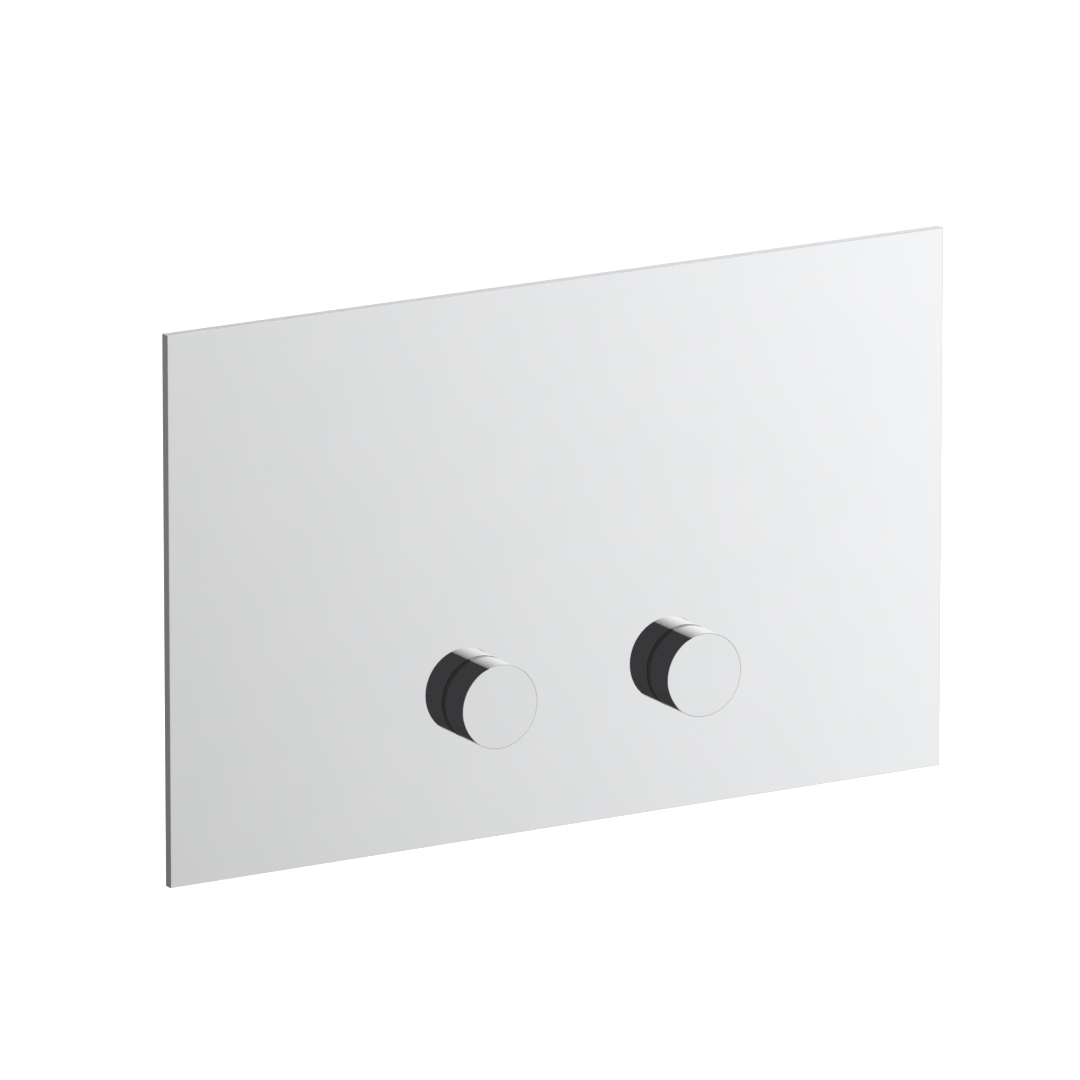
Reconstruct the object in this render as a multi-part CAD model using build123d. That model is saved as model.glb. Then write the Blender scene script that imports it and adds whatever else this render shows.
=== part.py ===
"""Flush button plate for a concealed cistern: a flat metal plate with two sprung push buttons.

X runs along the plate, Z is up and Y goes into the wall. The origin is at the middle of the plate's
outline, on the wall's surface. Sizes are in millimetres.
"""

import math
import os

from build123d import *

# Front plate and the foam ring behind it
plate_width = 260.0
plate_height = 164.0
plate_thickness = 3.0
plate_edge_break = 0.2
seal_thickness = 1.0
seal_inset = 4.0
seal_band = 12.0

# Push buttons: the pair sits low on the plate and a little right of its middle
button_diameter = 25.2
button_projection = 21.25
button_spacing = 68.75
button_pair_shift = 1.625
button_rise = 45.75
button_stroke = 8.0
ring_length = 9.6
groove_width = 1.5
groove_depth = 0.5
groove_slope = 0.5
cap_edge_break = 0.3
cap_rear_break = 0.1
sleeve_wall = 2.6
sleeve_web = 4.0
sleeve_tail = 5.5

# Plunger, its bearings and its stops
plunger_diameter = 8.0
plunger_thread = 5.0
plunger_flange = 11.6
plunger_flange_thickness = 2.5
cap_thread = 6.0
cap_thread_depth = 6.0
clip_groove_diameter = 6.6
clip_diameter = 14.0
clip_thickness = 1.2
clip_band = 2.0
clip_lug_width = 2.6
clip_mouth = 9.0
bush_wall = 2.0
bush_length = 10.0
bush_flange = 1.8
bush_flange_thickness = 1.2
rear_bush_diameter = 12.0
rear_bush_flange_diameter = 17.0
bumper_thickness = 2.0
bumper_band = 3.6
stop_washer_thickness = 1.0
stop_washer_diameter = 16.0

# Return spring
spring_diameter = 14.0
spring_wire = 1.4
spring_turns = 7
spring_steps_per_turn = 12
spring_wire_sides = 6

# Push rods
rod_diameter = 9.0
rod_length = 42.0
rod_socket_depth = 13.0
rod_plain_end = 20.0
rod_score_count = 3
rod_score_depth = 0.7
rod_tip_break = 1.0
rod_nut_across_flats = 8.0
rod_nut_thickness = 4.0
rod_nut_standoff = 2.0

# Moulded carrier on the plate's back
carrier_margin_x = 20.0
carrier_margin_z = 18.0
carrier_thickness = 2.5
carrier_corner = 6.0
housing_wall = 2.0
housing_rear_wall = 2.8
rib_thickness = 2.0
rib_height = 5.0
gusset_reach = 6.5
gusset_height = 9.0
rib_level = 5.0
rib_stud_gap = 12.0
rib_end_margin = 6.5
stud_inset_x = 38.0
stud_inset_z = 22.0
stud_diameter = 4.0
stud_length = 11.0
boss_diameter = 10.0
boss_height = 3.5
washer_diameter = 9.0
washer_thickness = 0.8
stud_nut_across_flats = 7.0
stud_nut_thickness = 3.2
hook_inset_x = 44.0
hook_width = 14.0
hook_thickness = 2.2
hook_catch = 1.5
hook_nose = 4.3

# Mounting frame in the wall opening
frame_depth = 10.0
frame_flange_thickness = 2.5
frame_wall = 2.2
frame_bar_x = 26.0
frame_window_margin = 2.0
frame_web_count = 5
frame_web_land = 1.0
frame_boss_diameter = 24.0
bolt_seat_depth = 6.5
bolt_diameter = 8.0
bolt_length = 32.0
bolt_slot_play = 5.0
bolt_head_diameter = 16.5
bolt_head_thickness = 5.5
bolt_head_flutes = 12
bolt_flute_radius = 1.3
bolt_neck_relief = 0.3
bolt_tip_break = 1.0
frame_nut_across_flats = 13.0
frame_nut_thickness = 6.5

# Clearances
button_clearance = 0.10
plunger_clearance = 0.10
stop_clearance = 0.08
press_clearance = 0.20
seat_clearance = 0.05
hook_clearance = 0.30
bolt_clearance = 0.20

# Planes along Y, from the wall outwards and inwards
plate_back = -seal_thickness
plate_front = plate_back - plate_thickness
button_front = plate_front - button_projection
sleeve_front = plate_front - ring_length
cap_back = sleeve_front - groove_width
web_back = sleeve_front + sleeve_web
sleeve_back = plate_back + sleeve_tail
carrier_back = plate_back + carrier_thickness
bumper_front = sleeve_back + button_stroke + press_clearance
housing_seat = bumper_front + bumper_thickness
housing_back = housing_seat + housing_rear_wall
spring_seat = housing_seat - bush_flange_thickness
clip_front = housing_back + stop_washer_thickness + stop_clearance
plunger_shoulder = clip_front + 3 * clip_thickness
rod_front = plunger_shoulder + rod_nut_standoff + rod_nut_thickness
rod_back = rod_front + rod_length
frame_back = carrier_back + frame_depth
bolt_seat = carrier_back + bolt_seat_depth
bolt_end = bolt_seat + bolt_length

# Places and radii that several pieces share
button_radius = button_diameter / 2
bush_radius = button_radius + button_clearance + bush_wall
bush_flange_radius = bush_radius + bush_flange
housing_radius = bush_radius + seat_clearance + housing_wall
sleeve_bore = button_radius - sleeve_wall
button_z = -plate_height / 2 + button_rise
button_x = {
    "left": button_pair_shift - button_spacing / 2,
    "right": button_pair_shift + button_spacing / 2,
}
carrier_width = plate_width - 2 * carrier_margin_x
carrier_height = plate_height - 2 * carrier_margin_z
window_width = carrier_width - 2 * frame_bar_x
window_height = 2 * (housing_radius + frame_window_margin - button_z)
stud_x = carrier_width / 2 - stud_inset_x
stud_z = carrier_height / 2 - stud_inset_z
stud_places = [(side * stud_x, level * stud_z) for side in (-1, 1) for level in (-1, 1)]
bolt_x = carrier_width / 2 - frame_bar_x / 2
bolt_places = [(-bolt_x, 0), (bolt_x, 0)]


def turned(*half_section):
    """A round solid about the Y axis, from the corners of its half section as (radius, y)."""
    return revolve(make_face(Polyline(*half_section, close=True)), Axis.Y)


def slab(sketch, front, back):
    """A sketch in X and Z given thickness along Y, from front to back."""
    wall_side = Plane((0, back, 0), x_dir=(1, 0, 0), z_dir=(0, -1, 0))
    return extrude(wall_side * sketch, back - front)


def at_each(places, solid):
    """Copies of one solid, moved to each (x, z) place."""
    return [Pos(x, 0, z) * solid for x, z in places]


def hex_nut(across_flats, bore, front, thickness):
    """A six-sided nut on the Y axis, with its bore."""
    outline = RegularPolygon(across_flats / 2, 6, major_radius=False) - Circle(bore)
    return slab(outline, front, front + thickness)


def make_front_plate():
    """Flat sheet with two round holes, its front edges just broken."""
    sheet = slab(Rectangle(plate_width, plate_height), plate_front, plate_back)
    front_edges = sheet.faces().sort_by(Axis.Y)[0].edges()
    sheet = chamfer(front_edges, plate_edge_break)
    hole = Circle(button_radius + button_clearance)
    for x in button_x.values():
        sheet -= slab(Pos(x, button_z) * hole, plate_front, plate_back)
    return sheet


def make_wall_seal():
    """Foam ring set in from the plate's edges."""
    outer_x = plate_width - 2 * seal_inset
    outer_z = plate_height - 2 * seal_inset
    ring = Rectangle(outer_x, outer_z) - Rectangle(outer_x - 2 * seal_band, outer_z - 2 * seal_band)
    return slab(ring, plate_back, 0)


def make_button_cap():
    """Turned front part, with its rear screw hole."""
    rim = button_radius
    hole = cap_thread / 2
    hole_end = cap_back - cap_thread_depth
    return turned(
        (0, button_front),
        (rim - cap_edge_break, button_front),
        (rim, button_front + cap_edge_break),
        (rim, cap_back - cap_rear_break),
        (rim - cap_rear_break, cap_back),
        (hole, cap_back),
        (hole, hole_end),
        (0, hole_end),
    )


def make_button_sleeve():
    """Turned rear part: a cup open to the back, with a spigot in front and a slope up from it."""
    rim = button_radius
    spigot = rim - groove_depth
    hole = cap_thread / 2 + seat_clearance
    return turned(
        (hole, cap_back),
        (spigot, cap_back),
        (spigot, sleeve_front - groove_slope),
        (rim, sleeve_front),
        (rim, sleeve_back),
        (sleeve_bore, sleeve_back),
        (sleeve_bore, web_back),
        (hole, web_back),
    )


def make_plunger():
    """Steel pin: screw end for the cap, flange on the sleeve's web, clip groove and rod thread."""
    screw = cap_thread / 2 - seat_clearance
    shaft = plunger_diameter / 2
    thread = plunger_thread / 2 - seat_clearance
    flange = plunger_flange / 2
    groove = clip_groove_diameter / 2
    groove_back = clip_front + clip_thickness + seat_clearance
    return turned(
        (0, cap_back - cap_thread_depth + seat_clearance),
        (screw, cap_back - cap_thread_depth + seat_clearance),
        (screw, web_back),
        (flange, web_back),
        (flange, web_back + plunger_flange_thickness),
        (shaft, web_back + plunger_flange_thickness),
        (shaft, clip_front - seat_clearance),
        (groove, clip_front - seat_clearance),
        (groove, groove_back),
        (shaft, groove_back),
        (shaft, plunger_shoulder),
        (thread, plunger_shoulder),
        (thread, rod_front + rod_socket_depth - seat_clearance),
        (0, rod_front + rod_socket_depth - seat_clearance),
    )


def make_retaining_clip():
    """E-shaped spring clip: an open ring with three inward lugs that grip the plunger's groove."""
    outer = clip_diameter / 2
    grip = clip_groove_diameter / 2 + seat_clearance
    lug_end = outer - clip_band / 2
    lug = Pos((lug_end + grip) / 2, 0) * Rectangle(lug_end - grip, clip_lug_width)
    lugs = [Rot(0, 0, angle) * lug for angle in (0, 90, 180)]
    mouth = Pos(0, -outer) * Rectangle(clip_mouth, clip_mouth)
    outline = Circle(outer) - Circle(outer - clip_band) + lugs - Circle(grip) - mouth
    return slab(outline, clip_front, clip_front + clip_thickness)


def make_guide_bush():
    """Plain bearing of the sleeve, with a front flange caught between plate and carrier."""
    bore = button_radius + button_clearance
    flange_back = plate_back + bush_flange_thickness
    bush_back = plate_back + bush_length
    return turned(
        (bore, plate_back),
        (bush_flange_radius, plate_back),
        (bush_flange_radius, flange_back),
        (bush_radius, flange_back),
        (bush_radius, bush_back),
        (bore, bush_back),
    )


def make_rear_bush():
    """Plain bearing of the plunger in the housing's rear wall, flanged as the spring's seat."""
    bore = plunger_diameter / 2 + plunger_clearance
    flange = rear_bush_flange_diameter / 2
    body = rear_bush_diameter / 2
    return turned(
        (bore, spring_seat),
        (flange, spring_seat),
        (flange, housing_seat),
        (body, housing_seat),
        (body, housing_back),
        (bore, housing_back),
    )


def ring(inner, outer, front, back):
    """A plain flat ring about the Y axis."""
    return slab(Circle(outer) - Circle(inner), front, back)


def make_return_spring():
    """Compression coil with closed ends, its wire faceted along straight steps."""
    lift = spring_wire / 2 + seat_clearance
    start = web_back + lift
    length = spring_seat - lift - start
    closed = spring_wire * 1.02
    open_turns = spring_turns - 2
    pitch = (length - 2 * closed) / open_turns
    points = []
    for step in range(spring_turns * spring_steps_per_turn + 1):
        turn = step / spring_steps_per_turn
        open_part = min(max(turn - 1, 0), open_turns)
        height = start + closed * (min(turn, 1) + max(turn - 1 - open_turns, 0)) + pitch * open_part
        angle = 2 * math.pi * turn
        points.append((spring_diameter / 2 * math.cos(angle), height, spring_diameter / 2 * math.sin(angle)))
    wire = Polyline(*points)
    section = Plane(wire @ 0, z_dir=wire % 0) * RegularPolygon(spring_wire / 2, spring_wire_sides)
    return sweep(section, wire, transition=Transition.RIGHT)


def make_push_rod():
    """Plastic rod screwed on the plunger, scored where it may be cut, with a plain rear end."""
    outer = rod_diameter / 2
    socket = plunger_thread / 2
    socket_end = rod_front + rod_socket_depth
    scored_length = rod_length - rod_plain_end - rod_tip_break
    half_section = [(socket, rod_front), (outer, rod_front)]
    for index in range(rod_score_count):
        middle = rod_front + scored_length * (index + 1) / rod_score_count
        half_section.append((outer, middle - rod_score_depth))
        half_section.append((outer - rod_score_depth, middle))
        half_section.append((outer, middle + rod_score_depth))
    half_section.append((outer, rod_back - rod_tip_break))
    half_section.append((outer - rod_tip_break, rod_back))
    half_section.append((0, rod_back))
    half_section.append((0, socket_end))
    half_section.append((socket, socket_end))
    return turned(*half_section)


def make_snap_hook(level):
    """Springy arm behind the carrier, with a nose that catches behind the frame's wall."""
    face = window_height / 2 - hook_clearance
    root = face - hook_thickness
    catch = frame_back + press_clearance
    outline = Polyline(
        (carrier_back, level * root),
        (carrier_back, level * face),
        (catch, level * face),
        (catch, level * (face + hook_catch)),
        (catch + hook_nose / 4, level * (face + hook_catch)),
        (catch + hook_nose, level * (face - hook_thickness / 3)),
        (catch + hook_nose, level * root),
        close=True,
    )
    across = Plane((-hook_width / 2, 0, 0), x_dir=(0, 1, 0), z_dir=(1, 0, 0))
    return extrude(across * make_face(outline), hook_width)


def make_gusset(angle):
    """Triangular web between a housing tube and the carrier's plate."""
    foot = housing_radius + gusset_reach
    inside = housing_radius - housing_wall / 2
    outline = Polyline(
        (inside, carrier_back),
        (foot, carrier_back),
        (inside, carrier_back + gusset_height),
        close=True,
    )
    web = extrude(make_face(outline), rib_thickness / 2, both=True)
    return Rot(0, angle, 0) * web


def make_button_carrier():
    """Moulded plate with two button housings, ribs, stud bosses and snap hooks."""
    base = RectangleRounded(carrier_width, carrier_height, carrier_corner)
    carrier = slab(base, plate_back, carrier_back)
    rib_back = carrier_back + rib_height
    rib_top = window_height / 2 - rib_end_margin
    for x in button_x.values():
        housing = slab(Circle(housing_radius), plate_back, housing_back)
        gussets = [make_gusset(angle) for angle in (0, 180)]
        carrier += Pos(x, 0, button_z) * (housing + gussets)
        rib = Pos(x, (rib_top + button_z) / 2) * Rectangle(rib_thickness, rib_top - button_z)
        carrier += slab(rib, carrier_back, rib_back)
    for level in (rib_level, stud_z - rib_stud_gap):
        rib = Pos(0, level) * Rectangle(2 * stud_x, rib_thickness)
        carrier += slab(rib, carrier_back, rib_back)
    boss = slab(Circle(boss_diameter / 2), carrier_back, carrier_back + boss_height)
    carrier += at_each(stud_places, boss)
    hook_x = carrier_width / 2 - hook_inset_x
    for level in (-1, 1):
        carrier += at_each([(-hook_x, 0), (hook_x, 0)], make_snap_hook(level))
    stud_hole = slab(Circle(stud_diameter / 2 + bolt_clearance), plate_back, carrier_back + boss_height)
    carrier -= at_each(stud_places, stud_hole)
    head_width = bolt_head_diameter + 2 * bolt_clearance
    window = SlotOverall(head_width + bolt_slot_play, head_width)
    carrier -= at_each(bolt_places, slab(window, plate_back, carrier_back))
    flange_seat = bush_flange_radius + seat_clearance
    bore = bush_radius + seat_clearance
    shaft_hole = rear_bush_diameter / 2 + seat_clearance
    cavity = turned(
        (0, plate_back),
        (flange_seat, plate_back),
        (flange_seat, plate_back + bush_flange_thickness),
        (bore, plate_back + bush_flange_thickness),
        (bore, housing_seat),
        (shaft_hole, housing_seat),
        (shaft_hole, housing_back),
        (0, housing_back),
    )
    return carrier - at_each([(x, button_z) for x in button_x.values()], cavity)


def make_mounting_frame():
    """Moulded ring of L section, with webs along its bars and a bolt seat bridged to each end wall."""
    outer = RectangleRounded(carrier_width, carrier_height, carrier_corner)
    window = Rectangle(window_width, window_height)
    frame = slab(outer - window, carrier_back, carrier_back + frame_flange_thickness)
    wall = Rectangle(window_width + 2 * frame_wall, window_height + 2 * frame_wall) - window
    frame += slab(wall, carrier_back, frame_back)
    bridge = frame_bar_x / 2
    boss = Circle(frame_boss_diameter / 2) + Pos(-bridge / 2, 0) * Rectangle(bridge, frame_boss_diameter)
    for (x, z), turn in zip(bolt_places, (180, 0)):
        frame += Pos(x, 0, z) * slab(Rot(0, 0, turn) * boss, carrier_back, frame_back)
    web_reach = (carrier_height - window_height) / 2 - frame_web_land
    web = Plane((-rib_thickness / 2, 0, 0), x_dir=(0, 1, 0), z_dir=(1, 0, 0)) * make_face(
        Polyline(
            (carrier_back, 0),
            (carrier_back, web_reach),
            (carrier_back + frame_flange_thickness, web_reach),
            (frame_back, frame_web_land),
            (frame_back, 0),
            close=True,
        )
    )
    web = extrude(web, rib_thickness)
    web_step = window_width / (frame_web_count + 1)
    for index in range(frame_web_count):
        x = -window_width / 2 + web_step * (index + 1)
        frame += Pos(x, 0, window_height / 2) * web
        frame += Pos(x, 0, -window_height / 2) * mirror(web, Plane.XY)
    head_room = slab(Circle(frame_boss_diameter / 2 - frame_wall), carrier_back, bolt_seat)
    slot_width = bolt_diameter + 2 * bolt_clearance
    slot = slab(SlotOverall(slot_width + bolt_slot_play, slot_width), bolt_seat, frame_back)
    frame -= at_each(bolt_places, head_room)
    return frame - at_each(bolt_places, slot)


def make_frame_bolt():
    """Plastic distance bolt: fluted head for the fingers, neck up to the nut's rear face, then the thread."""
    thread = bolt_diameter / 2
    neck = thread - bolt_neck_relief
    head = bolt_head_diameter / 2
    head_front = bolt_seat - bolt_head_thickness
    thread_front = frame_back + frame_nut_thickness
    bolt = turned(
        (0, head_front),
        (head, head_front),
        (head, bolt_seat),
        (neck, bolt_seat),
        (neck, thread_front),
        (thread, thread_front),
        (thread, bolt_end - bolt_tip_break),
        (thread - bolt_tip_break, bolt_end),
        (0, bolt_end),
    )
    for index in range(bolt_head_flutes):
        spot = Rot(0, 0, 360 * index / bolt_head_flutes) * Pos(head + bolt_flute_radius / 3, 0)
        bolt -= slab(spot * RegularPolygon(bolt_flute_radius, 6), head_front, bolt_seat)
    return bolt


parts = {
    "front_plate": make_front_plate(),
    "wall_seal": make_wall_seal(),
    "button_carrier": make_button_carrier(),
    "mounting_frame": make_mounting_frame(),
}

# Fasteners, each kind a group of separate like pieces
boss_back = carrier_back + boss_height
nut_front = boss_back + washer_thickness
stud = slab(Circle(stud_diameter / 2), plate_back, plate_back + stud_length)
washer = ring(stud_diameter / 2 + bolt_clearance, washer_diameter / 2, boss_back, nut_front)
stud_nut = hex_nut(stud_nut_across_flats, stud_diameter / 2 + seat_clearance, nut_front, stud_nut_thickness)
frame_nut_bore = bolt_diameter / 2 - bolt_neck_relief + seat_clearance
frame_nut = hex_nut(frame_nut_across_flats, frame_nut_bore, frame_back, frame_nut_thickness)
parts["plate_studs"] = Compound(children=at_each(stud_places, stud))
parts["stud_washers"] = Compound(children=at_each(stud_places, washer))
parts["stud_nuts"] = Compound(children=at_each(stud_places, stud_nut))
parts["frame_bolts"] = Compound(children=at_each(bolt_places, make_frame_bolt()))
parts["frame_nuts"] = Compound(children=at_each(bolt_places, frame_nut))

# Button mechanisms, the same on both sides
bumper_bore = rear_bush_flange_diameter / 2 + 2 * seat_clearance
rod_nut_bore = plunger_thread / 2 + seat_clearance
rod_nut_front = plunger_shoulder + rod_nut_standoff
washer_bore = plunger_diameter / 2 + 2 * plunger_clearance
stop_washer_back = housing_back + stop_washer_thickness
mechanism = {
    "button_cap": make_button_cap(),
    "button_sleeve": make_button_sleeve(),
    "plunger": make_plunger(),
    "retaining_clip": make_retaining_clip(),
    "return_spring": make_return_spring(),
    "guide_bush": make_guide_bush(),
    "rear_bush": make_rear_bush(),
    "bumper": ring(bumper_bore, bumper_bore + bumper_band, bumper_front, housing_seat),
    "stop_washer": ring(washer_bore, stop_washer_diameter / 2, housing_back, stop_washer_back),
    "rod_nut": hex_nut(rod_nut_across_flats, rod_nut_bore, rod_nut_front, rod_nut_thickness),
    "push_rod": make_push_rod(),
}
for side, x in button_x.items():
    for name, solid in mechanism.items():
        parts[f"{side}_{name}"] = Pos(x, 0, button_z) * solid

os.makedirs("parts", exist_ok=True)
for name, solid in parts.items():
    export_step(solid, f"parts/{name}.step")
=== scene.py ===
import math

import bpy
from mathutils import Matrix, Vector


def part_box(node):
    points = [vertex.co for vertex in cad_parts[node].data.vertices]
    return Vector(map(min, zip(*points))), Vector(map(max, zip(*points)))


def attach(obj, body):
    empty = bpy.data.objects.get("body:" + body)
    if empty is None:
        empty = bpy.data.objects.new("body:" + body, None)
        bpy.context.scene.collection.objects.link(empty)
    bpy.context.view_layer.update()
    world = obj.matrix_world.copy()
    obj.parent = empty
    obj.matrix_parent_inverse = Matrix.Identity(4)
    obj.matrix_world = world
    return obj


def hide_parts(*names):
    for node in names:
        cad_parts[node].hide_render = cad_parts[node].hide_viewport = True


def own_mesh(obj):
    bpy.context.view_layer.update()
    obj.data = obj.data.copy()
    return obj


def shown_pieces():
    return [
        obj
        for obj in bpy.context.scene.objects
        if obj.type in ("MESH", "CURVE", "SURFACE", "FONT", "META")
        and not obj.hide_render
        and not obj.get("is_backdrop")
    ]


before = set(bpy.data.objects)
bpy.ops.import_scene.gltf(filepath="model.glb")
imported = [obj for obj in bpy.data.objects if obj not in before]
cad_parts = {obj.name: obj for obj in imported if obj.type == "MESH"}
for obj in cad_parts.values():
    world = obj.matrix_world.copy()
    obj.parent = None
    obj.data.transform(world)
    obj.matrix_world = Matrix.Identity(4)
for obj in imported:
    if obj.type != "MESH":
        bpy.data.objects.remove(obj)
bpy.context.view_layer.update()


# Front plate
# A square-cut metal sheet, drilled for the two buttons, polished in front and bright chrome plated.
# It hides the opening in the wall, and the studs welded to its back carry everything else.
mm = 0.001
plate_edge_round = 0.07 * mm
merge_gap = 0.002 * mm
flat_turn = math.radians(0.4)
chrome_dark = (0.924, 0.930, 0.940)
chrome_light = (0.936, 0.941, 0.952)
chrome_grains = 900
polish_ends = (-0.9, -0.75)
unpolished_roughness = 0.42
unpolished_metallic = 0.88


def select_only(piece):
    """Makes one piece the only selected and active object."""
    bpy.ops.object.select_all(action="DESELECT")
    piece.select_set(True)
    bpy.context.view_layer.objects.active = piece


def edit(piece, kind="VERT"):
    """Opens one piece in edit mode with all its points, edges or faces selected."""
    select_only(piece)
    bpy.ops.object.mode_set(mode="EDIT")
    bpy.ops.mesh.select_mode(type=kind)
    bpy.ops.mesh.select_all(action="SELECT")


def done_editing():
    """Goes back to object mode."""
    bpy.ops.object.mode_set(mode="OBJECT")


def whole_copy(node, name):
    """A new piece with a node's shape, its loose triangles merged into whole faces."""
    piece = bpy.data.objects.new(name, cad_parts[node].data.copy())
    bpy.context.scene.collection.objects.link(piece)
    edit(piece)
    bpy.ops.mesh.customdata_custom_splitnormals_clear()
    bpy.ops.mesh.remove_doubles(threshold=merge_gap)
    bpy.ops.mesh.mark_sharp(clear=True)
    bpy.ops.mesh.dissolve_limited(angle_limit=flat_turn)
    done_editing()
    return piece


def apply_modifier(piece, kind, **settings):
    """Adds a modifier, sets it and applies it."""
    select_only(piece)
    modifier = piece.modifiers.new(kind.title(), kind)
    for name, value in settings.items():
        setattr(modifier, name, value)
    bpy.ops.object.modifier_apply(modifier=modifier.name)


def smooth(piece, sharpest=40):
    """Smooth shading over every edge that turns less than this, with large flats kept flat."""
    select_only(piece)
    bpy.ops.object.shade_smooth_by_angle(angle=math.radians(sharpest))
    apply_modifier(piece, "WEIGHTED_NORMAL", keep_sharp=True)


def ease_edges(piece, width, steps=2, sharpest=30):
    """Rounds the edges as a tool or mould leaves them."""
    apply_modifier(
        piece,
        "BEVEL",
        width=width,
        segments=steps,
        limit_method="ANGLE",
        angle_limit=math.radians(sharpest),
        use_clamp_overlap=False,
    )
    smooth(piece)


def feed(tree, node, inputs):
    """Sets a node's inputs by name, each to a value or to another node's output."""
    for name, value in inputs.items():
        if isinstance(value, bpy.types.NodeSocket):
            tree.links.new(value, node.inputs[name])
        else:
            node.inputs[name].default_value = value


def add_node(tree, kind, inputs, **properties):
    """A shader node with its properties and inputs set."""
    node = tree.nodes.new("ShaderNode" + kind)
    for name, value in properties.items():
        setattr(node, name, value)
    feed(tree, node, inputs)
    return node


def new_finish(name, inputs):
    """A Principled material with the sockets that are the same all over set."""
    finish = bpy.data.materials.new(name)
    finish.use_nodes = True
    shader = finish.node_tree.nodes["Principled BSDF"]
    feed(finish.node_tree, shader, inputs)
    return finish, finish.node_tree, shader


def use_group(tree, group, inputs):
    """Places a group in a material, with its own values."""
    node = tree.nodes.new("ShaderNodeGroup")
    node.node_tree = group
    feed(tree, node, inputs)
    return node


def tones(tree, factor, *stops):
    """A colour that runs through (position, colour) stops with a factor."""
    ramp = add_node(tree, "ValToRGB", {"Fac": factor})
    elements = ramp.color_ramp.elements
    while len(elements) < len(stops):
        elements.new(0.5)
    for element, (position, colour) in zip(elements, stops):
        element.position = position
        element.color = (*colour, 1)
    return ramp.outputs["Color"]


def between(tree, factor, low, high):
    """A number that runs from low to high with a factor."""
    return add_node(tree, "MapRange", {"Value": factor, "To Min": low, "To Max": high}).outputs["Result"]


def step(tree, value, start, end):
    """A factor that goes from 0 to 1 as a value goes from start to end."""
    return add_node(tree, "MapRange", {"Value": value, "From Min": start, "From Max": end}).outputs["Result"]


def work_out(tree, operation, *values):
    """A number worked out from others by one operation."""
    return add_node(tree, "Math", dict(enumerate(values)), operation=operation).outputs[0]


def object_point(tree):
    """The point on the piece that is being shaded."""
    return add_node(tree, "TexCoord", {}).outputs["Object"]


def axes_of(tree, vector):
    """A vector's X, Y and Z."""
    return add_node(tree, "SeparateXYZ", {0: vector}).outputs


# Fine grain with a broad mottle over it, for any surface; Scale is grains to the metre
mottle_scale = 0.06
mottle_low = 0.3
mottle_high = 0.7
fine_grain = bpy.data.node_groups.new("fine_grain", "ShaderNodeTree")
fine_grain.interface.new_socket("Scale", in_out="INPUT", socket_type="NodeSocketFloat")
fine_grain.interface.new_socket("Grain", in_out="OUTPUT", socket_type="NodeSocketFloat")
fine_grain.interface.new_socket("Mottle", in_out="OUTPUT", socket_type="NodeSocketFloat")
scale = fine_grain.nodes.new("NodeGroupInput").outputs["Scale"]
point = object_point(fine_grain)
grains = add_node(fine_grain, "TexNoise", {"Vector": point, "Scale": scale, "Detail": 3})
coarser = work_out(fine_grain, "MULTIPLY", scale, mottle_scale)
mottle = add_node(fine_grain, "TexNoise", {"Vector": point, "Scale": coarser, "Detail": 2})
feed(
    fine_grain,
    fine_grain.nodes.new("NodeGroupOutput"),
    {"Grain": grains.outputs["Fac"], "Mottle": mottle.outputs["Fac"]},
)


def grained_finish(name, dark, light, bright, dull, scale, depth=0, metallic=0):
    """A finish whose tone and shine vary a little over the surface, with the grain's own bumps."""
    finish, tree, shader = new_finish(name, {"Metallic": metallic})
    skin = use_group(tree, fine_grain, {"Scale": scale})
    tone = tones(tree, skin.outputs["Mottle"], (mottle_low, dark), (mottle_high, light))
    shine = between(tree, skin.outputs["Grain"], bright, dull)
    feed(tree, shader, {"Base Color": tone, "Roughness": shine})
    if depth:
        bumps = add_node(tree, "Bump", {"Height": skin.outputs["Grain"], "Distance": depth})
        feed(tree, shader, {"Normal": bumps.outputs["Normal"]})
    return finish, tree, shader, tone, shine


def dress(piece, finish, body, slot, *nodes):
    """Gives a piece its finish, its body and the nodes that it stands for."""
    piece.data.materials.clear()
    piece.data.materials.append(finish)
    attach(piece, body)
    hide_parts(*nodes)


# The front is polished; the cut edges and the back keep the dull plating
plate_chrome, tree, shader, _, shine = grained_finish(
    "plate_chrome", chrome_dark, chrome_light, bright=0.09, dull=0.11, scale=chrome_grains, metallic=1
)
facing = axes_of(tree, add_node(tree, "NewGeometry", {}).outputs["Normal"])
unpolished = step(tree, facing["Y"], *polish_ends)
feed(tree, shader, {"Roughness": between(tree, unpolished, shine, unpolished_roughness)})
feed(tree, shader, {"Metallic": between(tree, unpolished, 1, unpolished_metallic)})
plate = whole_copy("front_plate", "polished_plate")
ease_edges(plate, plate_edge_round)
dress(plate, plate_chrome, "plate_assembly", "polished_chrome", "front_plate")


# Plate studs
# Four M4 stainless steel studs, welded end-on to the plate's back.
# Their threads are rolled, and the ends are turned to a short cone so that a nut starts easily.
stud_radius = 2.0 * mm
stud_pitch = 0.7 * mm
stud_cone = 0.3 * mm
thread_depth = 0.61
thread_steps = 36
seam_gap = 0.001 * mm
saw_gap = 0.0005 * mm
lathe_rings = 9000
lathe_ring_depth = 0.006 * mm


def draw_line(name, points):
    """A new piece that is one line through these points."""
    bpy.ops.object.select_all(action="DESELECT")
    bpy.ops.mesh.primitive_plane_add(size=mm)
    piece = bpy.context.object
    piece.name = name
    edit(piece)
    bpy.ops.mesh.merge(type="CENTER")
    bpy.ops.transform.translate(value=points[0])
    for start, end in zip(points, points[1:]):
        bpy.ops.mesh.extrude_vertices_move(TRANSFORM_OT_translate={"value": end - start})
    done_editing()
    return piece


def close_seams(piece):
    """Merges the points that meet and turns all faces outwards."""
    edit(piece)
    bpy.ops.mesh.remove_doubles(threshold=seam_gap)
    bpy.ops.mesh.normals_make_consistent(inside=False)
    done_editing()


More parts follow.
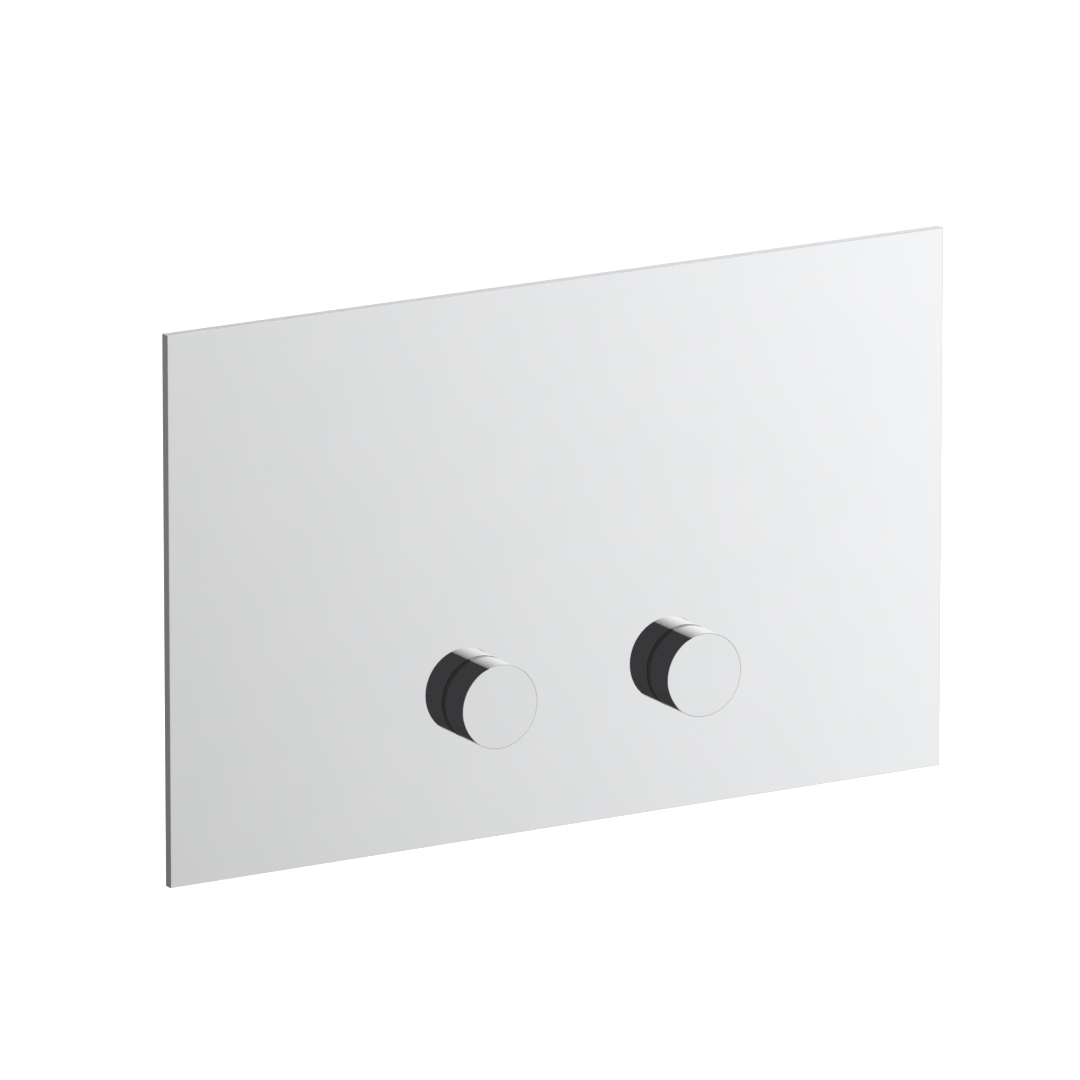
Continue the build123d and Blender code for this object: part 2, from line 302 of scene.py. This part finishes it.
def saw_off(piece, y, keep_front, close=True):
    """Cuts a piece square at one place along Y and closes the cut, or leaves it open."""
    edit(piece)
    bpy.ops.mesh.bisect(
        plane_co=(0, y, 0),
        plane_no=(0, 1, 0),
        use_fill=close,
        clear_inner=not keep_front,
        clear_outer=keep_front,
        threshold=saw_gap,
    )
    done_editing()


def threaded_rod(name, radius, pitch, front, back, cone, open_end=None):
    """A rod on the Y axis with a 60 degree screw thread, its ends turned down to a cone."""
    root = radius - thread_depth * pitch
    start = front - 2 * pitch
    profile = ((root, 0), (root, 0.25), (radius, 0.56), (radius, 0.69), (root, 1))
    rod = draw_line(name, [Vector((height, start + share * pitch, 0)) for height, share in profile])
    apply_modifier(
        rod,
        "SCREW",
        axis="Y",
        screw_offset=pitch,
        iterations=math.ceil((back - start) / pitch) + 1,
        steps=thread_steps,
        render_steps=thread_steps,
    )
    close_seams(rod)
    saw_off(rod, front, keep_front=False, close=open_end != "front")
    saw_off(rod, back, keep_front=True, close=open_end != "back")
    for vertex in rod.data.vertices:
        x, y, z = vertex.co
        from_end = min(y - front, back - y)
        share = min(1, (radius - cone + from_end) / math.hypot(x, z))
        vertex.co = (x * share, y, z * share)
    close_seams(rod)
    return rod


def set_out(piece, places):
    """Moves a piece to the first (x, z) place, copies it to the others and joins them all."""
    copies = [piece]
    for _ in places[1:]:
        copy = piece.copy()
        copy.data = piece.data.copy()
        bpy.context.scene.collection.objects.link(copy)
        copies.append(copy)
    bpy.ops.object.select_all(action="DESELECT")
    for copy, (x, z) in zip(copies, places):
        copy.location = (x, 0, z)
        copy.select_set(True)
    bpy.context.view_layer.objects.active = piece
    bpy.ops.object.transform_apply(location=True, rotation=False, scale=False)
    if len(copies) > 1:
        bpy.ops.object.join()


# Stainless steel with the fine rings that a lathe leaves along Y
turned_steel, tree, shader, *_ = grained_finish(
    "turned_steel", (0.50, 0.50, 0.50), (0.64, 0.64, 0.63), bright=0.26, dull=0.40, scale=1500, metallic=1
)
along_rod = axes_of(tree, object_point(tree))["Y"]
rings = add_node(tree, "TexNoise", {"W": along_rod, "Scale": lathe_rings, "Detail": 2}, noise_dimensions="1D")
bumps = add_node(tree, "Bump", {"Height": rings.outputs["Fac"], "Distance": lathe_ring_depth})
feed(tree, shader, {"Normal": bumps.outputs["Normal"]})

low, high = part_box("plate_studs")
stud_places = [
    (x, z)
    for x in (low.x + stud_radius, high.x - stud_radius)
    for z in (low.z + stud_radius, high.z - stud_radius)
]
studs = threaded_rod("threaded_studs", stud_radius, stud_pitch, low.y, high.y, stud_cone)
smooth(studs)
set_out(studs, stud_places)
dress(studs, turned_steel, "plate_assembly", "stainless_steel", "plate_studs")


# Wall seal
# A die-cut ring of closed-cell foam, stuck to the plate's back near its edge.
# It keeps water from running behind the plate and the metal off the tiles.
seal_edge_round = 0.22 * mm
foam_cells = 1300
foam_cell_depth = 0.15 * mm
foam_grains = 600
foam_pit_shade = (0.085, 0.085, 0.09)
foam_light = (0.19, 0.19, 0.2)
foam_patch = (0.8, 0.8, 0.8)
full_tone = (1, 1, 1)

seal_foam, tree, shader = new_finish("seal_foam", {})
cells = add_node(tree, "TexVoronoi", {"Vector": object_point(tree), "Scale": foam_cells})
skin = use_group(tree, fine_grain, {"Scale": foam_grains})
# Painted shade in the foam's cells: the colour darkens towards the bottom of each pit, where the bump is
# deepest.
painted_pit_shade = tones(tree, cells.outputs["Distance"], (0.1, foam_pit_shade), (0.7, foam_light))
patchy = tones(tree, skin.outputs["Mottle"], (mottle_low, foam_patch), (mottle_high, full_tone))
tone = add_node(tree, "MixRGB", {"Fac": 1, "Color1": painted_pit_shade, "Color2": patchy}, blend_type="MULTIPLY")
bumps = add_node(tree, "Bump", {"Height": cells.outputs["Distance"], "Distance": foam_cell_depth})
feed(tree, shader, {"Base Color": tone.outputs["Color"], "Normal": bumps.outputs["Normal"]})
feed(tree, shader, {"Roughness": between(tree, skin.outputs["Grain"], 0.78, 0.95)})
seal = whole_copy("wall_seal", "foam_seal")
ease_edges(seal, seal_edge_round, steps=3)
dress(seal, seal_foam, "plate_assembly", "seal_foam", "wall_seal")


# Button sleeves and caps
# Turned metal, polished and chromed like the plate. The cap screws down on the sleeve's spigot,
# and the open neck between them shows as a shallow groove. The shade in the groove is painted into
# the chrome's colour: a darker neck, and a dark painted shadow line at each of its two rims.
button_edge_round = 0.05 * mm
groove_width = 1.5 * mm
groove_onto_cap = 0.4 * mm
groove_onto_sleeve = 0.15 * mm
groove_neck_painted_shade = (0.64, 0.64, 0.64)
groove_rim_painted_shadow = (0.07, 0.07, 0.07)
sides = ("left", "right")

button_chrome, tree, shader, tone, _ = grained_finish(
    "button_chrome", chrome_dark, chrome_light, bright=0.03, dull=0.045, scale=chrome_grains, metallic=1
)
cap_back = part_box("left_button_cap")[1].y
groove_from = cap_back - groove_onto_cap
groove_to = cap_back + groove_width + groove_onto_sleeve
# Painted shade across the groove, set by place along Y: dark painted shadow lines at the cap's rim and at the
# sleeve's rim, and a darker neck between them.
shade = tones(
    tree,
    step(tree, axes_of(tree, object_point(tree))["Y"], groove_from, groove_to),
    (0, full_tone),
    (0.02, groove_rim_painted_shadow),
    (0.17, groove_rim_painted_shadow),
    (0.19, groove_neck_painted_shade),
    (0.89, groove_neck_painted_shade),
    (0.91, groove_rim_painted_shadow),
    (0.98, groove_rim_painted_shadow),
    (1, full_tone),
)
tone = add_node(tree, "MixRGB", {"Fac": 1, "Color1": tone, "Color2": shade}, blend_type="MULTIPLY")
feed(tree, shader, {"Base Color": tone.outputs["Color"]})
for side in sides:
    for part in ("button_sleeve", "button_cap"):
        turned = whole_copy(f"{side}_{part}", f"{side}_{part}_polished")
        ease_edges(turned, button_edge_round)
        dress(turned, button_chrome, f"{side}_button", "polished_chrome", f"{side}_{part}")


# Guide bushes
# White acetal rings, moulded with a thin flange that is caught between the plate and the carrier.
# The sleeve slides in them, so their bores are smooth and their rims well rounded.
guide_bush_edge_round = 0.3 * mm

white_acetal, *_ = grained_finish(
    "white_acetal",
    (0.80, 0.80, 0.77),
    (0.84, 0.84, 0.81),
    bright=0.26,
    dull=0.38,
    scale=1200,
    depth=0.004 * mm,
)
for side in sides:
    bush = whole_copy(f"{side}_guide_bush", f"{side}_sleeve_bearing")
    ease_edges(bush, guide_bush_edge_round, steps=3)
    dress(bush, white_acetal, "plate_assembly", "bearing_plastic", f"{side}_guide_bush")


# Button carrier
# One grey plastic moulding with both button housings, ribs, bosses for the studs and snap hooks.
# The mould's spark-eroded skin gives it a fine grain, and its ejector pins leave shallow round marks.
carrier_thickness = 2.5 * mm
carrier_edge_round = 0.15 * mm
ejector_radius = 2.5 * mm
ejector_depth = 0.18 * mm
ejector_places = [
    (x * mm, z * mm) for x, z in ((-57, 17.5), (1.6, 17.5), (57, 17.5), (-62, -16), (1.6, -36), (65, -16))
]


def turn(name, *half_section, steps=96):
    """A round solid on the Y axis, spun from the corners of its half section as (radius, y)."""
    piece = draw_line(name, [Vector((radius, y, 0)) for radius, y in half_section])
    edit(piece)
    bpy.ops.mesh.spin(steps=steps, angle=2 * math.pi, center=(0, 0, 0), axis=(0, 1, 0))
    done_editing()
    close_seams(piece)
    return piece


def combine(piece, tool, operation):
    """Cuts or trims a piece with another closed shape, which is then thrown away."""
    apply_modifier(piece, "BOOLEAN", operation=operation, object=tool, solver="EXACT")
    bpy.data.objects.remove(tool)


grey_plastic, *_ = grained_finish(
    "grey_plastic",
    (0.535, 0.545, 0.565),
    (0.565, 0.575, 0.595),
    bright=0.40,
    dull=0.58,
    scale=2600,
    depth=0.03 * mm,
)
carrier = whole_copy("button_carrier", "moulded_carrier")
ease_edges(carrier, carrier_edge_round, sharpest=45)
mark_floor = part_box("button_carrier")[0].y + carrier_thickness - ejector_depth
mark_top = mark_floor + 2 * ejector_depth
marks = turn(
    "ejector_marks",
    (0, mark_floor),
    (ejector_radius, mark_floor),
    (ejector_radius, mark_top),
    (0, mark_top),
)
set_out(marks, ejector_places)
combine(carrier, marks, "DIFFERENCE")
smooth(carrier)
dress(carrier, grey_plastic, "plate_assembly", "carrier_plastic", "button_carrier")


# Stud washers and nuts
# Punched washers and hexagon nuts of bright zinc-plated steel, which hold the carrier on the studs.
# The nuts' corners are turned to a cone on both faces.
washer_edge_round = 0.14 * mm
stud_nut_flats = 7.0 * mm
nut_land = 0.475
nut_cone = math.radians(30)
nut_spare = 0.01 * mm


def cone_corners(nuts, across_flats, places):
    """Trims a nut's corners on both faces to the cone that a lathe leaves there."""
    rows = [vertex.co.y for vertex in nuts.data.vertices]
    front = min(rows) - nut_spare
    back = max(rows) + nut_spare
    corner = across_flats / math.sqrt(3) + nut_spare
    land = nut_land * across_flats
    cone = (corner - land) * math.tan(nut_cone)
    blank = turn(
        "nut_blank",
        (0, front),
        (land, front),
        (corner, front + cone),
        (corner, back - cone),
        (land, back),
        (0, back),
    )
    set_out(blank, places)
    combine(nuts, blank, "INTERSECT")
    close_seams(nuts)
    smooth(nuts, sharpest=20)


zinc_plate, *_ = grained_finish(
    "zinc_plate",
    (0.50, 0.52, 0.56),
    (0.66, 0.66, 0.62),
    bright=0.26,
    dull=0.44,
    scale=1400,
    depth=0.002 * mm,
    metallic=0.9,
)
washers = whole_copy("stud_washers", "punched_washers")
ease_edges(washers, washer_edge_round)
dress(washers, zinc_plate, "plate_assembly", "zinc_steel", "stud_washers")
nuts = whole_copy("stud_nuts", "stud_hexagon_nuts")
cone_corners(nuts, stud_nut_flats, stud_places)
dress(nuts, zinc_plate, "plate_assembly", "zinc_steel", "stud_nuts")


# Rear bushes and bumpers
# Inside each housing a white acetal bush carries the plunger and seats the spring, and a ring of
# black rubber round its flange takes the blow when the button is pushed home.
rear_bush_edge_round = 0.2 * mm
bumper_edge_round = 0.35 * mm

black_rubber, *_ = grained_finish(
    "black_rubber",
    (0.022, 0.022, 0.022),
    (0.048, 0.048, 0.05),
    bright=0.62,
    dull=0.85,
    scale=3000,
    depth=0.02 * mm,
)
for side in sides:
    bush = whole_copy(f"{side}_rear_bush", f"{side}_plunger_bearing")
    ease_edges(bush, rear_bush_edge_round)
    dress(bush, white_acetal, "plate_assembly", "bearing_plastic", f"{side}_rear_bush")
    bumper = whole_copy(f"{side}_bumper", f"{side}_rubber_bumper")
    ease_edges(bumper, bumper_edge_round, steps=3)
    dress(bumper, black_rubber, "plate_assembly", "bumper_rubber", f"{side}_bumper")


# Return springs
# Compression coils of hard-drawn wire, wound cold, with one closed turn ground flat at each end.
# They push the buttons out and are squeezed by the stroke against the rear bush.
wire = 1.4 * mm
wire_steps = 3
coil_radius = 7.0 * mm
coil_turns = 7
closed_rise = 1.02 * wire
ground_off = 0.35 * mm
steps_per_turn = 36

spring_steel, *_ = grained_finish(
    "spring_steel",
    (0.36, 0.355, 0.35),
    (0.50, 0.50, 0.50),
    bright=0.24,
    dull=0.42,
    scale=1300,
    depth=0.002 * mm,
    metallic=1,
)
for side in sides:
    low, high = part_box(f"{side}_return_spring")
    middle = (low + high) / 2
    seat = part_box(f"{side}_rear_bush")[0].y
    web = 2 * middle.y - seat
    start = web + wire / 2 - ground_off
    open_rise = (2 * (middle.y - start) - 2 * closed_rise) / (coil_turns - 2)
    places = []
    for index in range(coil_turns * steps_per_turn + 1):
        turns = index / steps_per_turn
        open_turns = min(max(turns - 1, 0), coil_turns - 2)
        angle = 2 * math.pi * turns
        x = middle.x + coil_radius * math.cos(angle)
        y = start + open_rise * open_turns + closed_rise * (turns - open_turns)
        z = middle.z + coil_radius * math.sin(angle)
        places.append((x, y, z, 1))
    path = bpy.data.curves.new(f"{side}_wire_path", "CURVE")
    path.dimensions = "3D"
    path.bevel_depth = wire / 2
    path.bevel_resolution = wire_steps
    path.use_fill_caps = True
    line = path.splines.new("POLY")
    line.points.add(len(places) - 1)
    for spot, place in zip(line.points, places):
        spot.co = place
    coil = bpy.data.objects.new(f"{side}_wound_spring", path)
    bpy.context.scene.collection.objects.link(coil)
    select_only(coil)
    bpy.ops.object.convert(target="MESH")
    close_seams(coil)
    saw_off(coil, web, keep_front=False)
    saw_off(coil, seat, keep_front=True)
    close_seams(coil)
    smooth(coil)
    dress(coil, spring_steel, "plate_assembly", "spring_steel", f"{side}_return_spring")
    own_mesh(coil)


# Plungers
# Stainless steel pins, turned from bar, with a screw at each end: the front one goes into the cap,
# the rear one into the push rod. A flange bears on the sleeve and a groove takes the clip.
plunger_edge_round = 0.15 * mm
sleeve_front_to_flange = 5.5 * mm
shoulder_to_nut = 2.0 * mm
cap_screw_radius = 2.95 * mm
cap_screw_pitch = 1.0 * mm
rod_screw_radius = 2.45 * mm
rod_screw_pitch = 0.8 * mm
screw_cone = 0.5 * mm
end_trim = 0.002 * mm


def screw_into(body, y, screw):
    """Joins open-ended screws to a body at its flat end there, and closes the rings between them."""
    edit(body, "FACE")
    bpy.ops.mesh.select_all(action="DESELECT")
    done_editing()
    for face in body.data.polygons:
        face.select = abs(face.center.y - y) < seam_gap and abs(face.normal.y) > 0.999
    bpy.ops.object.mode_set(mode="EDIT")
    bpy.ops.mesh.delete(type="FACE")
    done_editing()
    screw.select_set(True)
    bpy.ops.object.join()
    edit(body, "EDGE")
    bpy.ops.mesh.select_all(action="DESELECT")
    bpy.ops.mesh.select_non_manifold(
        use_wire=False,
        use_multi_face=False,
        use_non_contiguous=False,
        use_verts=False,
    )
    bpy.ops.mesh.fill(use_beauty=True)
    done_editing()
    close_seams(body)


for side in sides:
    low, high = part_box(f"{side}_plunger")
    place = ((low.x + high.x) / 2, (low.z + high.z) / 2)
    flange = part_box(f"{side}_button_sleeve")[0].y + sleeve_front_to_flange + end_trim
    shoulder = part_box(f"{side}_rod_nut")[0].y - shoulder_to_nut - end_trim
    plunger = whole_copy(f"{side}_plunger", f"{side}_turned_plunger")
    saw_off(plunger, flange, keep_front=False)
    saw_off(plunger, shoulder, keep_front=True)
    ease_edges(plunger, plunger_edge_round)
    for end, radius, pitch, front, back, open_end in (
        (flange, cap_screw_radius, cap_screw_pitch, low.y, flange, "back"),
        (shoulder, rod_screw_radius, rod_screw_pitch, shoulder, high.y, "front"),
    ):
        screw = threaded_rod("plunger_screw", radius, pitch, front, back, screw_cone, open_end)
        set_out(screw, [place])
        screw_into(plunger, end, screw)
    smooth(plunger)
    dress(plunger, turned_steel, f"{side}_button", "stainless_steel", f"{side}_plunger")


# Stop washers and retaining clips
# A rubber washer lies on each housing's rear wall, and a clip stamped from spring steel and pushed
# into the plunger's groove comes back against it, so that the button can't be pulled out.
stop_washer_edge_round = 0.2 * mm
clip_edge_round = 0.12 * mm

for side in sides:
    washer = whole_copy(f"{side}_stop_washer", f"{side}_rubber_washer")
    ease_edges(washer, stop_washer_edge_round)
    dress(washer, black_rubber, "plate_assembly", "bumper_rubber", f"{side}_stop_washer")
    clip = whole_copy(f"{side}_retaining_clip", f"{side}_stamped_clip")
    ease_edges(clip, clip_edge_round)
    dress(clip, spring_steel, f"{side}_button", "spring_steel", f"{side}_retaining_clip")


# Rod nuts and push rods
# Blue acetal rods screw on the plungers' ends and are locked there by a zinc-plated nut.
# Each is scored where it may be cut to suit the wall, and its plain end meets the cistern's lever.
rod_edge_round = 0.18 * mm
rod_nut_flats = 8.0 * mm

blue_acetal, *_ = grained_finish(
    "blue_acetal",
    (0.10, 0.275, 0.50),
    (0.12, 0.305, 0.54),
    bright=0.28,
    dull=0.44,
    scale=1200,
    depth=0.006 * mm,
)
for side in sides:
    low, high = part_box(f"{side}_rod_nut")
    nut = whole_copy(f"{side}_rod_nut", f"{side}_lock_nut")
    cone_corners(nut, rod_nut_flats, [((low.x + high.x) / 2, (low.z + high.z) / 2)])
    dress(nut, zinc_plate, f"{side}_button", "zinc_steel", f"{side}_rod_nut")
    rod = whole_copy(f"{side}_push_rod", f"{side}_scored_rod")
    ease_edges(rod, rod_edge_round)
    dress(rod, blue_acetal, f"{side}_button", "rod_plastic", f"{side}_push_rod")


# Mounting frame
# A stiff black plastic moulding of L section, which the cistern's bolts hold in the wall opening.
# The carrier's hooks snap behind its inner wall, and small webs stiffen its bars.
frame_edge_round = 0.25 * mm

black_plastic, *_ = grained_finish(
    "black_plastic",
    (0.042, 0.042, 0.046),
    (0.050, 0.050, 0.054),
    bright=0.42,
    dull=0.62,
    scale=1900,
    depth=0.035 * mm,
)
mounting = whole_copy("mounting_frame", "moulded_frame")
ease_edges(mounting, frame_edge_round)
dress(mounting, black_plastic, "plate_assembly", "frame_plastic", "mounting_frame")


# Frame bolts and nuts
# Distance bolts and nuts of off-white nylon. The fluted heads are turned by hand in the frame's
# seats, the nuts lock them at the back, and the long threads screw into the cistern's lugs.
bolt_radius = 4.0 * mm
bolt_pitch = 1.25 * mm
bolt_cone = 1.0 * mm
bolt_edge_round = 0.05 * mm
frame_nut_flats = 13.0 * mm

white_nylon, *_ = grained_finish(
    "white_nylon",
    (0.70, 0.70, 0.65),
    (0.74, 0.74, 0.69),
    bright=0.34,
    dull=0.50,
    scale=1000,
    depth=0.008 * mm,
)
low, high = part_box("frame_bolts")
nut_low, nut_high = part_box("frame_nuts")
half_nut = frame_nut_flats / math.sqrt(3)
bolt_height = (low.z + high.z) / 2
bolt_places = [(nut_low.x + half_nut, bolt_height), (nut_high.x - half_nut, bolt_height)]
bolts = whole_copy("frame_bolts", "distance_bolts")
neck_end = nut_high.y - end_trim
saw_off(bolts, neck_end, keep_front=True)
ease_edges(bolts, bolt_edge_round)
threads = threaded_rod("bolt_threads", bolt_radius, bolt_pitch, neck_end, high.y, bolt_cone, open_end="front")
set_out(threads, bolt_places)
screw_into(bolts, neck_end, threads)
smooth(bolts)
dress(bolts, white_nylon, "plate_assembly", "bolt_plastic", "frame_bolts")
nuts = whole_copy("frame_nuts", "bolt_lock_nuts")
cone_corners(nuts, frame_nut_flats, bolt_places)
dress(nuts, white_nylon, "plate_assembly", "bolt_plastic", "frame_nuts")


# Studio
# A floor about a metre below, where a plate like this is set on its wall, and plain white all round.
# Soft lamps light the matt pieces. The chrome mirrors a light tent alone: a soft box in front, a dark
# flag with a round light in it behind, a dark flag on the left, and grey cards elsewhere.
floor_level = -1.05
floor_half_width = 12
floor_tone = (0.8, 0.8, 0.8, 1)
floor_glow = 0.6
room_light = 0.6
tent_low = Vector((-1.6, -1.0, -1.0))
tent_high = Vector((1.6, 1.5, 1.5))
flag_level = 0.04


def seen_directly(tree):
    """A factor that is 1 for what the camera, a mirror or clear glass sees."""
    rays = add_node(tree, "LightPath", {}).outputs
    seen = work_out(tree, "MAXIMUM", rays["Is Camera Ray"], rays["Is Glossy Ray"])
    return work_out(tree, "MAXIMUM", seen, rays["Is Transmission Ray"])


bpy.ops.object.select_all(action="DESELECT")
bpy.ops.mesh.primitive_plane_add(size=2 * floor_half_width, location=(0, 0, floor_level))
floor = bpy.context.object
floor.name = "floor"
floor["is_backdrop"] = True
floor_white, tree, shader = new_finish("floor_white", {"Roughness": 0.9, "Base Color": floor_tone})
glow = add_node(tree, "Emission", {"Strength": between(tree, seen_directly(tree), 0, floor_glow)})
both = add_node(tree, "AddShader", {0: shader.outputs[0], 1: glow.outputs[0]})
feed(tree, tree.nodes["Material Output"], {"Surface": both.outputs[0]})
floor.data.materials.append(floor_white)

# Light tent, which shows in reflections alone
bpy.ops.mesh.primitive_cube_add(size=1, location=(tent_low + tent_high) / 2)
tent = bpy.context.object
tent.name = "light_tent"
tent.scale = tent_high - tent_low
bpy.ops.object.transform_apply(location=True, rotation=True, scale=True)
tent.visible_camera = False
tent.visible_diffuse = False
tent.visible_shadow = False
tent.visible_transmission = False
tent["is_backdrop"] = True


def new_wall(name, outward):
    """The tent's wall on one side, which gives out light by itself, and the point on it."""
    wall = bpy.data.materials.new(name)
    wall.use_nodes = True
    tree = wall.node_tree
    tree.nodes.clear()
    light = add_node(tree, "Emission", {})
    add_node(tree, "OutputMaterial", {"Surface": light.outputs[0]})
    tent.data.materials.append(wall)
    side = max(tent.data.polygons, key=lambda face: face.normal.dot(Vector(outward)))
    side.material_index = len(tent.data.materials) - 1
    return tree, light, object_point(tree)


def along(tree, point, direction):
    """How far a point lies along a direction."""
    return add_node(tree, "VectorMath", {0: point, 1: direction}, operation="DOT_PRODUCT").outputs["Value"]


# Soft box in front, which grows brighter to the upper right and fades out on the left
box_growth = (0.8238, 0, 0.3937)
box_middle = 0.4506
box_darkest = 0.56
box_brightest = 1.02
box_edge_lean = (1, 0, -0.35)
box_edge = (-1.3, -0.7)
tree, light, point = new_wall("front_soft_box", (0, -1, 0))
level = work_out(tree, "ADD", along(tree, point, box_growth), box_middle)
level = work_out(tree, "SMOOTH_MAX", level, box_darkest, 0.08)
level = work_out(tree, "SMOOTH_MIN", level, box_brightest, 0.04)
inside = step(tree, along(tree, point, box_edge_lean), *box_edge)
feed(tree, light, {"Strength": between(tree, inside, flag_level, level)})

# Flag behind, which is lit towards the right and has a round light straight behind the plate
flag_lit_x = (0.3, 1.1)
flag_lit_z = (-0.95, -0.65)
flag_levels = (
    (0.09, 0.042),
    (0.12, 0.22),
    (0.25, 0.35),
    (0.455, 0.53),
    (0.625, 0.68),
    (0.75, 0.80),
    (0.925, 0.93),
)
flag_blue = 0.003
disc_radii = (0.8, 0.6)
disc_tone = (0.6, 0.6, 0.6, 1)
tree, light, point = new_wall("back_flag", (0, 1, 0))
axes = axes_of(tree, point)
lit = work_out(tree, "MULTIPLY", step(tree, axes["X"], *flag_lit_x), step(tree, axes["Z"], *flag_lit_z))
flag = tones(tree, lit, *((share, (level, level, level + flag_blue)) for share, level in flag_levels))
disc_middle = (0, tent_high.y, 0)
off_middle = add_node(tree, "VectorMath", {0: point, 1: disc_middle}, operation="DISTANCE").outputs["Value"]
disc = step(tree, off_middle, *disc_radii)
lit_flag = add_node(tree, "MixRGB", {"Fac": disc, "Color1": flag, "Color2": disc_tone})
feed(tree, light, {"Color": lit_flag.outputs["Color"]})

# Flag on the left
tree, light, _ = new_wall("left_flag", (-1, 0, 0))
feed(tree, light, {"Strength": flag_level})

# Card on the right, which grows brighter upwards
right_levels = (0.2, 0.58)
right_from_to = (-0.6, 0.9)
tree, light, point = new_wall("right_card", (1, 0, 0))
upwards = step(tree, axes_of(tree, point)["Z"], *right_from_to)
feed(tree, light, {"Strength": between(tree, upwards, *right_levels)})

# Card above, with a dark left half; it grows brighter to the right at the back and is even in front
top_levels = (0.5, 0.9)
top_from_to = (0.2, 1.1)
top_front_level = 0.53
top_front_edge = (-0.25, 0.15)
top_left_edge = (0.12, 0.22)
tree, light, point = new_wall("top_card", (0, 0, 1))
axes = axes_of(tree, point)
graded = between(tree, step(tree, axes["X"], *top_from_to), *top_levels)
graded = between(tree, step(tree, axes["Y"], *top_front_edge), top_front_level, graded)
lit = step(tree, axes["X"], *top_left_edge)
feed(tree, light, {"Strength": between(tree, lit, flag_level, graded)})

# Card on the floor, dark left of a slanted edge; it grows darker to the back and ends in a dark strip
floor_levels = (0.93, 0.18)
floor_from_to = (-1.0, 1.0)
floor_slant = (1, -0.5, 0)
floor_left_edge = (-0.13, -0.02)
floor_back_edge = (1.0, 0.8)
tree, light, point = new_wall("floor_card", (0, 0, -1))
backwards = axes_of(tree, point)["Y"]
right_of_edge = step(tree, along(tree, point, floor_slant), *floor_left_edge)
lit = work_out(tree, "MULTIPLY", right_of_edge, step(tree, backwards, *floor_back_edge))
graded = between(tree, step(tree, backwards, *floor_from_to), *floor_levels)
feed(tree, light, {"Strength": between(tree, lit, flag_level, graded)})

# Soft lamps for the matt pieces
for name, location, power, size in (
    ("key_lamp", (-1.6, -2.2, 2.4), 60, 2.0),
    ("back_lamp", (1.8, 2.4, 2.0), 60, 2.0),
):
    bpy.ops.object.light_add(type="AREA", location=location)
    lamp = bpy.context.object
    lamp.name = name
    lamp.data.energy = power
    lamp.data.size = size
    lamp.rotation_euler = (-Vector(location)).to_track_quat("-Z", "Y").to_euler()
    lamp.visible_glossy = False

# White room, which shows as plain white and lights softly
world = bpy.data.worlds.new("white_room")
bpy.context.scene.world = world
world.use_nodes = True
tree = world.node_tree
strength = between(tree, seen_directly(tree), room_light, 1)
feed(tree, tree.nodes["Background"], {"Color": (1, 1, 1, 1), "Strength": strength})
bpy.context.scene.view_settings.view_transform = "Standard"

# The bright metal mirrors the tent alone
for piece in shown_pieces():
    piece.visible_glossy = False


# Camera
# Far off with a long lens, to the left of the plate and a little above it.
# It aims a little to the left of the plate's middle and above it.
camera_yaw = math.radians(30.216)
camera_pitch = math.radians(14.858)
camera_distance = 4.28928
camera_lens = 491.92
camera_sensor = 36
camera_reach = 60
aim_right = -6.08 * mm
aim_up = 4.30 * mm
front_centre = Vector((0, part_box("front_plate")[0].y, 0))
ahead = Vector(
    (
        math.sin(camera_yaw) * math.cos(camera_pitch),
        math.cos(camera_yaw) * math.cos(camera_pitch),
        -math.sin(camera_pitch),
    )
)
to_right = Vector((math.cos(camera_yaw), -math.sin(camera_yaw), 0))
upward = to_right.cross(ahead)
camera_place = front_centre + aim_right * to_right + aim_up * upward - camera_distance * ahead
bpy.ops.object.camera_add(location=camera_place, rotation=(math.pi / 2 - camera_pitch, 0, -camera_yaw))
camera = bpy.context.object
camera.data.lens = camera_lens
camera.data.sensor_width = camera_sensor
camera.data.clip_end = camera_reach
bpy.context.scene.camera = camera
